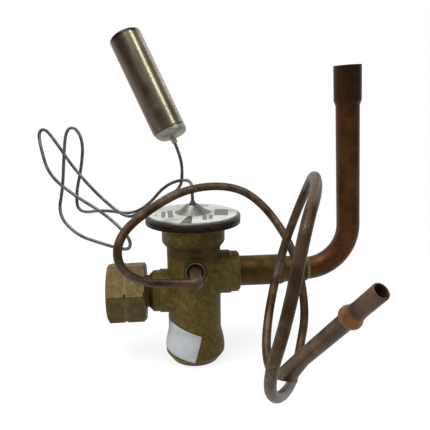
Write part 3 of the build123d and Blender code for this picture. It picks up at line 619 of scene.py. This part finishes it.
bulb_steel = drawn_steel("bulb_steel")
head_steel = pressed_steel("head_steel")
capillary_steel = wire_steel("capillary_steel")
print("steel finishes done")

# %% [markdown]
# ## Braze and paper
#
# Braze is a rough, yellowish alloy that ran into the joints. The round label on the head is
# greyed white paper. Nothing is written on it here: plain grey bars stand where a maker's
# table would be, each a rectangle in the label's own plane.

# %% Braze and label finishes


def braze_metal(name):
    """Lumpy, half dull, yellowish grey."""
    finish = Finish(name)
    place = finish.place()
    lumps = finish.cloud(place, 0.9, detail=3.0)
    colour = finish.mix(lumps.between(0.35, 0.7), srgb(84, 73, 50), srgb(120, 109, 84))
    return finish.surface(
        Base_Color=colour, Metallic=0.6, Roughness=0.45 + lumps * 0.2,
        Normal=finish.bumped(lumps, 0.06),
    )


def bar_mask(finish, place, bar):
    """1 inside a rectangle of the XY plane, with edges as soft as worn ink."""
    (x, y), (width, depth), turn = bar
    side = Vector((cos(turn), sin(turn), 0))
    reach = Vector((-sin(turn), cos(turn), 0))
    inside = None
    for axis, half in ((side, width / 2), (reach, depth / 2)):
        middle = axis.x * x + axis.y * y
        offset = (finish.along(place, tuple(axis)) - middle).math("ABSOLUTE")
        within = 1 - offset.between(half - 0.1, half + 0.1)
        inside = within if inside is None else inside * within
    return inside


LABEL_BARS = [             # centre, width and depth in millimetres, turn
    ((11.6, -1.2), (5.6, 11.4), radians(-7)),
    ((4.2, -10.0), (1.8, 7.6), radians(-5)),
    ((6.6, -9.0), (1.7, 7.0), radians(-5)),
    ((-12.0, -2.6), (1.7, 10.5), radians(0)),
    ((-9.2, -2.0), (2.2, 12.5), radians(2)),
    ((-14.9, -2.8), (0.9, 2.2), 0.0),
    ((2.0, 12.5), (11.0, 2.2), 0.0),
    ((1.0, 9.6), (7.0, 1.2), 0.0),
]


def printed_paper(name, bars):
    """Soiled paper with bars of grey ink."""
    finish = Finish(name)
    place = finish.place()
    fibre = finish.cloud(place, 0.35, detail=3.0)
    soil = finish.cloud(place, 5.0, detail=3.0)
    colour = finish.mix(soil.between(0.40, 0.75) * 0.6, srgb(178, 181, 172), srgb(146, 147, 137))
    ink = finish.mix(fibre.between(0.3, 0.7), srgb(78, 80, 82), srgb(100, 102, 103))
    for bar in bars:
        colour = finish.mix(bar_mask(finish, place, bar) * 0.9, colour, ink)
    return finish.surface(
        Base_Color=colour, Roughness=0.55 + fibre * 0.2, Specular_IOR_Level=0.3,
        Normal=finish.bumped(fibre, 0.01),
    )


braze = braze_metal("braze")
label_paper = printed_paper("label_paper", LABEL_BARS)
print("bars on the head label", len(LABEL_BARS))

# %% [markdown]
# ## The formed tubes
#
# Two tubes are bent by hand: the copper equalizer tube with its big loop, and the thin
# capillary that wanders to the bulb. Each is one smooth curve with a round bevel. The curve is
# a NURBS spline, drawn towards its points without touching them, so that no bend has a kink.
# It is then made a mesh, because a curve's own box also holds points that it never reaches.
# The equalizer tube starts thick, where braze has run up round its first elbow.

# %% Tubes
EQUALIZER_R, CAPILLARY_R = 1.6, 0.65
EQUALIZER_ROUTE = [        # millimetres, from the port to the crimped stub
    (0, -8.4, 42.2), (0, -19, 42.2), (0.2, -24.3, 42.0), (-4.2, -24.4, 42.4),
    (-9, -24.7, 42.9), (-21, -26.5, 44.5),
    (-28.2, -32, 53), (-27.1, -29.1, 63.1), (-16.6, -16.9, 69.6), (-1.1, -6.1, 75.5),
    (18, 0, 74.5), (29.6, -5.5, 66.5), (38.9, -16.5, 50.9), (41, -27.5, 31.5),
    (37.2, -33.4, 17.9), (30.2, -51.8, 16.2), (19, -78.2, 27.6), (12.6, -93.7, 42.2),
    (17.7, -92, 58), (22.2, -89.5, 80.6), (28.6, -75.9, 86), (35.3, -50.9, 86.6),
    (39.5, -28, 78), (38.5, -18, 66.5), (32.5, -22, 53), (25.8, -31.5, 34.5),
    (21.7, -46, 23.7), (22.4, -59.6, 22.1), (25.4, -65.5, 29.6),
]
EQUALIZER_SWELL = [1.5, 1.5, 1.62, 1.06]    # thickness at the first points; the rest have 1
CAPILLARY_ROUTE = [        # millimetres, from the top of the cone to the bulb
    (0, 0, 66.05), (0, 0, 72), (-0.5, 4, 77.5), (-10.5, 7, 75), (-18.5, 5.5, 66),
    (-26, 6, 62.5), (-37, 9.5, 64), (-48, 11, 62.5), (-49, 13, 70), (-46.5, 16, 81),
    (-45.5, 19.5, 91.5), (-48.5, 21.5, 98), (-52.5, 20.5, 97.5), (-53.5, 17, 87),
    (-54, 12.5, 73.5), (-56, 8.5, 62.5), (-48, 3.5, 55), (-38, -1, 52.5),
    (-29, -7.5, 51.5), (-25, -9.8, 52.2), (-25.4, -9, 57), (-36, 0.3, 64.7),
    (-47.5, 6, 70.5), (-58.5, 9.5, 79), (-62, 14, 90), (-63.2, 17, 96.5), (-60.5, 17.8, 98),
    (-55.5, 15.3, 91.5), (-49, 12.7, 81.5), (-38.5, 8, 70), (-27.3, 2, 61.7),
    (-21.5, 1, 64), (-11.5, 2, 70.5), (-4.6, 7, 72.5), (-3.6, 8.3, 80),
    (-4.5, 9.1, 86.6), (-7.1, 10.9, 93.1),
]


def formed_tube(name, route, radius, around, swell=()):
    """A mesh of a bent tube; around sets how many sides its section has."""
    curve = bpy.data.curves.new(name, "CURVE")
    curve.dimensions = "3D"
    curve.bevel_depth = radius * MM
    curve.bevel_resolution = around
    curve.resolution_u = 16
    curve.use_fill_caps = True
    spline = curve.splines.new("NURBS")
    spline.points.add(len(route) - 1)
    for point, place in zip(spline.points, route):
        point.co = (*(Vector(place) * MM), 1)
    for point, thickness in zip(spline.points, swell):
        point.radius = thickness
    spline.order_u = 3
    spline.use_endpoint_u = True
    drawn = put_in_scene(name + "_line", curve)
    solid = drawn.evaluated_get(bpy.context.evaluated_depsgraph_get())
    mesh = bpy.data.meshes.new_from_object(solid)
    bpy.data.objects.remove(drawn)
    mesh.name = name
    for face in mesh.polygons:
        face.use_smooth = len(face.vertices) == 4
    return put_in_scene(name, mesh)


def enlist(piece, node=None, body="valve"):
    """Sign a new piece in: the body it rides on and the node it replaces."""
    if node:
        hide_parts(node)
    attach(piece, body)
    return piece


formed_equalizer = formed_tube(
    "formed_equalizer_tube", EQUALIZER_ROUTE, EQUALIZER_R, 6, EQUALIZER_SWELL
)
formed_capillary = formed_tube("formed_capillary_tube", CAPILLARY_ROUTE, CAPILLARY_R, 4)
enlist(formed_equalizer, "equalizer_tube")
enlist(formed_capillary, "capillary_tube")
print("points", len(EQUALIZER_ROUTE), "and", len(CAPILLARY_ROUTE))

# %% [markdown]
# ## Rings on an axis
#
# The bulb, the stub and the braze are all stacks of closed rings. One function joins such a
# stack into a skin: each ring is a list of places with the same number of points. A face caps
# each end of the stack, unless the stack closes on itself.

# %% Skin of a stack of rings
AROUND = 72                                 # points in a ring


def frame_of(axis, side):
    """A unit axis and two unit directions across it, the first as near side as it can be."""
    axis = Vector(axis).normalized()
    across = (Vector(side) - axis * axis.dot(Vector(side))).normalized()
    return axis, across, axis.cross(across)


def round_ring(foot, directions, height, radius):
    """A circle at a height along the axis."""
    axis, across, other = directions
    turns = [2 * pi * step / AROUND for step in range(AROUND)]
    return [
        foot + axis * height + (across * cos(turn) + other * sin(turn)) * radius
        for turn in turns
    ]


def finished(name, mesh):
    """The object of a mesh that was under construction."""
    data = bpy.data.meshes.new(name)
    mesh.to_mesh(data)
    mesh.free()
    return put_in_scene(name, data)


def ring_skin(name, rings, closed=False):
    """A smooth mesh over rings of places in millimetres; open ends are closed by a cap."""
    mesh = bmesh.new()
    made = [[mesh.verts.new(place * MM) for place in ring] for ring in rings]
    pairs = list(zip(made, made[1:]))
    if closed:
        pairs.append((made[-1], made[0]))
    for lower, upper in pairs:
        for step in range(AROUND):
            after = (step + 1) % AROUND
            mesh.faces.new((lower[step], lower[after], upper[after], upper[step]))
    if not closed:
        mesh.faces.new(list(reversed(made[0])))
        mesh.faces.new(made[-1])
    bmesh.ops.recalc_face_normals(mesh, faces=mesh.faces)
    for face in mesh.faces:
        face.smooth = True
    return finished(name, mesh)


# %% [markdown]
# ## The sensing bulb
#
# The bulb is a drawn can. Its top is spun to a shallow dome with a tight edge. Its foot, where
# the capillary enters, was closed by hand: the edge is drawn in far on one side and stays tight
# on the other.

# %% Bulb
BULB_R = 6.88
BULB_NECK = [              # height and radius where the capillary enters the foot
    (-1.9, 0.95), (-1.8, 1.15), (-0.7, 1.2), (-0.1, 1.35), (0.15, 1.9), (0.4, 2.6),
]
BULB_SLACK_SIDE = (-1.0, 0.0, -0.4)         # the side on which the foot's edge is drawn in
TIGHT_EDGE, SLACK_EDGE = 1.9, 5.6           # height of the rounding at the foot
FOOT_INSET = 1.9                            # how far it draws the edge in; twice that if slack
FOOT_FLAT, FOOT_TILT = 0.75, 0.25           # height of the flat, and its drop on the tight side
BARREL_FROM, BARREL_SHORT = 8.0, 12.0       # where its rings start, how much shorter it is
TOP_EDGE, TOP_CROWN = 1.5, 1.7              # tight edge and height of the dome at the top
EDGE_STEPS = 12


def make_bulb():
    """Neck, foot with its uneven rounding, barrel, and top."""
    directions = frame_of(BULB_TOP - BULB_FOOT, BULB_SLACK_SIDE)
    axis, across, other = directions
    length = (BULB_TOP - BULB_FOOT).length
    rings = [round_ring(BULB_FOOT, directions, *place) for place in BULB_NECK]
    for step in range(EDGE_STEPS + 1):
        angle = pi / 2 * step / EDGE_STEPS
        ring = []
        for index in range(AROUND):
            turn = 2 * pi * index / AROUND
            slack = (0.5 + 0.5 * cos(turn)) ** 1.5
            tall = TIGHT_EDGE + (SLACK_EDGE - TIGHT_EDGE) * slack
            deep = FOOT_INSET + FOOT_INSET * slack
            radius = BULB_R - deep * (1 - sin(angle))
            height = FOOT_FLAT + tall * (1 - cos(angle)) - FOOT_TILT * (1 - slack)
            outward = across * cos(turn) + other * sin(turn)
            ring.append(BULB_FOOT + axis * height + outward * radius)
        rings.append(ring)
    for share in (0.25, 0.5, 0.75):
        height = BARREL_FROM + (length - BARREL_SHORT) * share
        rings.append(round_ring(BULB_FOOT, directions, height, BULB_R))
    for step in range(EDGE_STEPS + 1):
        angle = pi / 2 * step / EDGE_STEPS
        radius = BULB_R - TOP_EDGE * (1 - cos(angle))
        height = length - TOP_CROWN - TOP_EDGE * (1 - sin(angle))
        rings.append(round_ring(BULB_FOOT, directions, height, radius))
    for share in (0.8, 0.6, 0.4, 0.2, 0.03):
        height = length - TOP_CROWN * share ** 2
        rings.append(round_ring(BULB_FOOT, directions, height, (BULB_R - TOP_EDGE) * share))
    return ring_skin("spun_bulb", rings)


spun_bulb = enlist(make_bulb(), "sensing_bulb")
print("bulb", len(spun_bulb.data.polygons), "faces")

# %% [markdown]
# ## The crimped stub
#
# The stub's far end is a plain round tube with a rolled bead. Its near end is squeezed onto
# the equalizer tube: a round lobe holds the tube and the spare width is pressed into a flat
# fin. Such a section is the outline of two circles joined by straight runs, and it grows
# evenly into the round tube.

# %% Stub
STUB_FIN = (0.723, -0.374, -0.579)          # the side to which the fin points
STUB_R, STUB_BORE_R = 2.38, 1.85
CRIMP_LENGTH, CRIMP_STEPS = 13.0, 24
CRIMP_EASE = 0.8                            # below 1 the section turns round early
CRIMP_OVERLAP = 1.2                         # how far the lobe runs on over the equalizer tube
LOBE_R, FIN_R, FIN_REACH = 2.15, 0.55, 3.9
CRIMP_SLANT, SLANT_FADE = 0.55, 2.5         # the fin's end is cut back, less and less inwards
BEAD = [                   # distance from the foot and radius of the rolled bead
    (36.4, 2.38), (36.85, 2.42), (36.95, 2.8), (37.2, 3.12), (37.7, 3.3), (38.3, 3.34),
    (38.9, 3.24), (39.4, 3.02), (39.9, 2.78), (40.6, 2.58), (41.6, 2.44), (43.0, 2.38),
]
MOUTH = [                  # distance from the open end and radius, over the rim and inwards
    (-0.6, STUB_R), (-0.25, STUB_R - 0.04), (-0.07, STUB_R - 0.12), (0.0, STUB_R - 0.24),
    (-0.05, STUB_BORE_R + 0.08), (-0.25, STUB_BORE_R), (-12.0, STUB_BORE_R),
]


def make_stub():
    """The crimp, the round tube with its bead, the open end, and the bore back to the crimp."""
    directions = frame_of(STUB_MOUTH - STUB_FOOT, STUB_FIN)
    axis, across, other = directions
    length = (STUB_MOUTH - STUB_FOOT).length
    rings = []
    for step in range(CRIMP_STEPS + 1):
        share = step / CRIMP_STEPS
        round_share = share ** CRIMP_EASE
        ring = []
        for index in range(AROUND):
            turn = 2 * pi * index / AROUND
            way = across * cos(turn) + other * sin(turn)
            on_fin = FIN_REACH * cos(turn) + FIN_R > LOBE_R
            squeezed = across * FIN_REACH + way * FIN_R if on_fin else way * LOBE_R
            slant = CRIMP_SLANT * (squeezed.dot(across) + LOBE_R) * max(1 - share * SLANT_FADE, 0)
            height = CRIMP_LENGTH * share + slant - CRIMP_OVERLAP * (1 - share)
            ring.append(
                STUB_FOOT + axis * height
                + squeezed * (1 - round_share) + way * STUB_R * round_share
            )
        rings.append(ring)
    outline = [(20.0, STUB_R), (28.0, STUB_R), *BEAD, (46.0, STUB_R)]
    outline += [(length + height, radius) for height, radius in MOUTH]
    outline += [(CRIMP_LENGTH, STUB_BORE_R - 0.1)]
    rings += [round_ring(STUB_FOOT, directions, *place) for place in outline]
    return ring_skin("crimped_stub", rings)


crimped_stub = enlist(make_stub(), "equalizer_stub")
print("stub", len(crimped_stub.data.polygons), "faces")

# %% [markdown]
# ## Braze and screw thread
#
# Braze fills the well round the equalizer tube and stands a little proud of it, raised unevenly
# by noise. The nut's screw thread is one ridge wound in a helix, and it turns with the nut.

# %% Port braze and nut thread
PORT_Z, INLET_Z = 42.2, 30.5
BRAZE = [                  # distance from the body's axis and radius, once round the section
    (9.9, 4.15), (11.6, 4.19), (12.35, 4.19), (12.62, 3.98), (12.58, 3.66), (12.2, 3.36),
    (11.5, 3.12), (11.05, 2.86), (10.85, 2.5), (10.8, 1.9), (9.9, 1.9),
]
BRAZE_SWELL = 0.28                          # how far the noise moves its open face
BRAZE_HELD = 10.6                           # up to here the well holds it still
THREAD_R, THREAD_DEPTH, THREAD_PITCH = 8.75, 0.42, 1.59
THREAD_START_X, THREAD_TURNS = -28.4, 4.6
THREAD_STEPS, THREAD_FADE = 48, 8           # steps in a turn, steps of run-in at each end
ROOT_HALF, CREST_HALF, ROOT_DEPTH = 0.62, 0.10, -0.05


def make_port_braze():
    foot = Vector((0, 0, PORT_Z))
    directions = frame_of((0, -1, 0), (1, 0, 0))
    rings = [round_ring(foot, directions, *place) for place in BRAZE]
    piece = ring_skin("port_braze", rings, closed=True)
    for vertex in piece.data.vertices:
        height = -vertex.co.y / MM
        free = min(max(height - BRAZE_HELD, 0), 1)
        vertex.co.y -= noise.noise(vertex.co / MM * 0.55) * BRAZE_SWELL * free * MM
    return piece


def make_thread():
    """A ridge with a flat crest that comes out of the wall of the bore and sinks back in."""
    mesh = bmesh.new()
    rows = []
    count = int(THREAD_TURNS * THREAD_STEPS)
    for step in range(count + 1):
        turn = 2 * pi * step / THREAD_STEPS
        fade = min(step, count - step, THREAD_FADE) / THREAD_FADE
        middle = THREAD_START_X - THREAD_PITCH * step / THREAD_STEPS
        section = (
            (ROOT_HALF, ROOT_DEPTH), (CREST_HALF, fade), (-CREST_HALF, fade),
            (-ROOT_HALF, ROOT_DEPTH),
        )
        row = []
        for offset, depth in section:
            radius = THREAD_R - THREAD_DEPTH * depth
            row.append(mesh.verts.new((
                (middle + offset) * MM, radius * cos(turn) * MM,
                (INLET_Z + radius * sin(turn)) * MM,
            )))
        rows.append(row)
    for before, after in zip(rows, rows[1:]):
        for index in range(4):
            beside = (index + 1) % 4
            mesh.faces.new((before[index], after[index], after[beside], before[beside]))
    mesh.faces.new(rows[0])
    mesh.faces.new(list(reversed(rows[-1])))
    bmesh.ops.recalc_face_normals(mesh, faces=mesh.faces)
    return finished("nut_thread", mesh)


port_braze = enlist(make_port_braze())
nut_thread = enlist(make_thread(), body="nut")
print("braze", len(port_braze.data.polygons), "thread", len(nut_thread.data.polygons), "faces")

# %% [markdown]
# ## Hand out the finishes
#
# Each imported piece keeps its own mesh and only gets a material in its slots. The new pieces
# get theirs in the same way.

# %% Finish of every piece
FINISH_OF = {
    "valve_body": body_brass, "inlet_tail": body_brass, "gland_plug": body_brass,
    "inlet_nut": nut_brass,
    "inlet_strainer": inner_brass, "orifice_seat": inner_brass, "pin_carrier": inner_brass,
    "spring_seat": inner_brass, "adjusting_stem": inner_brass,
    "valve_pin": spring_steel, "push_rod": spring_steel, "buffer_plate": spring_steel,
    "superheat_spring": spring_steel,
    "stem_ring": seal_rubber,
    "outlet_stub": stub_copper, "outlet_tube": copper, "outlet_braze": braze,
    "equalizer_tube": tube_copper, "equalizer_stub": tube_copper,
    "head_lower_shell": head_steel, "head_upper_shell": head_steel, "diaphragm": head_steel,
    "head_label": label_paper,
    "capillary_collar": capillary_steel, "capillary_tube": capillary_steel,
    "sensing_bulb": bulb_steel,
}


def dress(piece, material):
    piece.data.materials.clear()
    piece.data.materials.append(material)


for name, material in FINISH_OF.items():
    dress(bpy.data.objects[name], material)
for piece, material in (
    (formed_equalizer, tube_copper), (formed_capillary, capillary_steel),
    (spun_bulb, bulb_steel), (crimped_stub, crimp_copper),
    (port_braze, braze), (nut_thread, inner_brass),
):
    dress(piece, material)
undressed = sorted(set(nodes) - set(FINISH_OF))
print("dressed", len(FINISH_OF), "pieces, left over", undressed)

# %% [markdown]
# ## The paper label on the barrel
#
# A strip of thin paper is wrapped round the barrel, slightly askew, and its lowest corner
# lifts over the flare of the foot. It is a grid of points: each has a turn round the axis and
# a height, and takes its distance from the axis from the body's own outline. Its upper edge
# bows up a little between its corners.

# %% Body label
LABEL_TOP_LEFT = (radians(-196), 19.9)      # turn round the axis and height in millimetres
LABEL_TOP_RIGHT = (radians(-78.4), 13.6)
LABEL_LOW_RIGHT = (radians(-93.3), 3.1)
LABEL_LOW_LEFT = (radians(-204), 7.6)
LABEL_COLUMNS, LABEL_ROWS = 60, 24
PAPER = 0.13                                # distance of the paper from the brass
LABEL_BOW, LABEL_RIPPLE = 1.1, 0.05
CORNER_LIFT, CORNER_STARTS = 0.54, 1.82     # the corner is at 2: one across plus one down
OUTLINE = [                # height and radius of the brass, from the foot's edge upwards
    (3.4, 12.55), (3.6, 12.66), (6.0, 12.66), (8.6, 12.31), (13.4, 11.16), (30.0, 11.16),
]


def outline_radius(height):
    """Radius of the foot and barrel under the paper; below the foot's edge it hangs free."""
    for (low, low_radius), (high, high_radius) in zip(OUTLINE, OUTLINE[1:]):
        if height <= high:
            share = max((height - low) / (high - low), 0.0)
            return low_radius + (high_radius - low_radius) * share
    return OUTLINE[-1][1]


def make_body_label():
    """The grid of the strip, row by row from its upper edge."""
    mesh = bmesh.new()
    grid = []
    for row in range(LABEL_ROWS + 1):
        down = row / LABEL_ROWS
        line = []
        for column in range(LABEL_COLUMNS + 1):
            across = column / LABEL_COLUMNS
            top = [a + (b - a) * across for a, b in zip(LABEL_TOP_LEFT, LABEL_TOP_RIGHT)]
            low = [a + (b - a) * across for a, b in zip(LABEL_LOW_LEFT, LABEL_LOW_RIGHT)]
            turn = top[0] + (low[0] - top[0]) * down
            height = top[1] + (low[1] - top[1]) * down
            height += LABEL_BOW * sin(pi * across) * (1 - down)
            ripple = noise.noise(Vector((turn * 3, height * 0.25, 0))) * LABEL_RIPPLE
            loose = max(across + down - CORNER_STARTS, 0.0) / (2 - CORNER_STARTS)
            lift = CORNER_LIFT * loose
            radius = outline_radius(height) + PAPER + ripple + lift
            line.append(mesh.verts.new((
                radius * cos(turn) * MM, radius * sin(turn) * MM, height * MM
            )))
        grid.append(line)
    for upper, lower in zip(grid, grid[1:]):
        for a, b, c, d in zip(upper, upper[1:], lower[1:], lower):
            mesh.faces.new((d, c, b, a)).smooth = True
    label = finished("body_label", mesh)
    thick = label.modifiers.new("paper", "SOLIDIFY")
    thick.thickness, thick.offset = PAPER * 0.6 * MM, 0.0
    return label


def plain_paper(name):
    """Blank, bluish grey paper with faint creases."""
    finish = Finish(name)
    place = finish.place()
    fibre = finish.cloud(place, 0.3, detail=3.0)
    crease = finish.cloud(place, 4.0, detail=2.0)
    colour = finish.mix(crease.between(0.4, 0.7) * 0.5, srgb(170, 172, 175), srgb(158, 160, 163))
    return finish.surface(
        Base_Color=colour, Roughness=0.6 + fibre * 0.1,
        Normal=finish.bumped(fibre * 0.3 + crease, 0.04),
    )


body_label = make_body_label()
dress(body_label, plain_paper("body_label_paper"))
enlist(body_label)
print("body label", len(body_label.data.polygons), "faces")
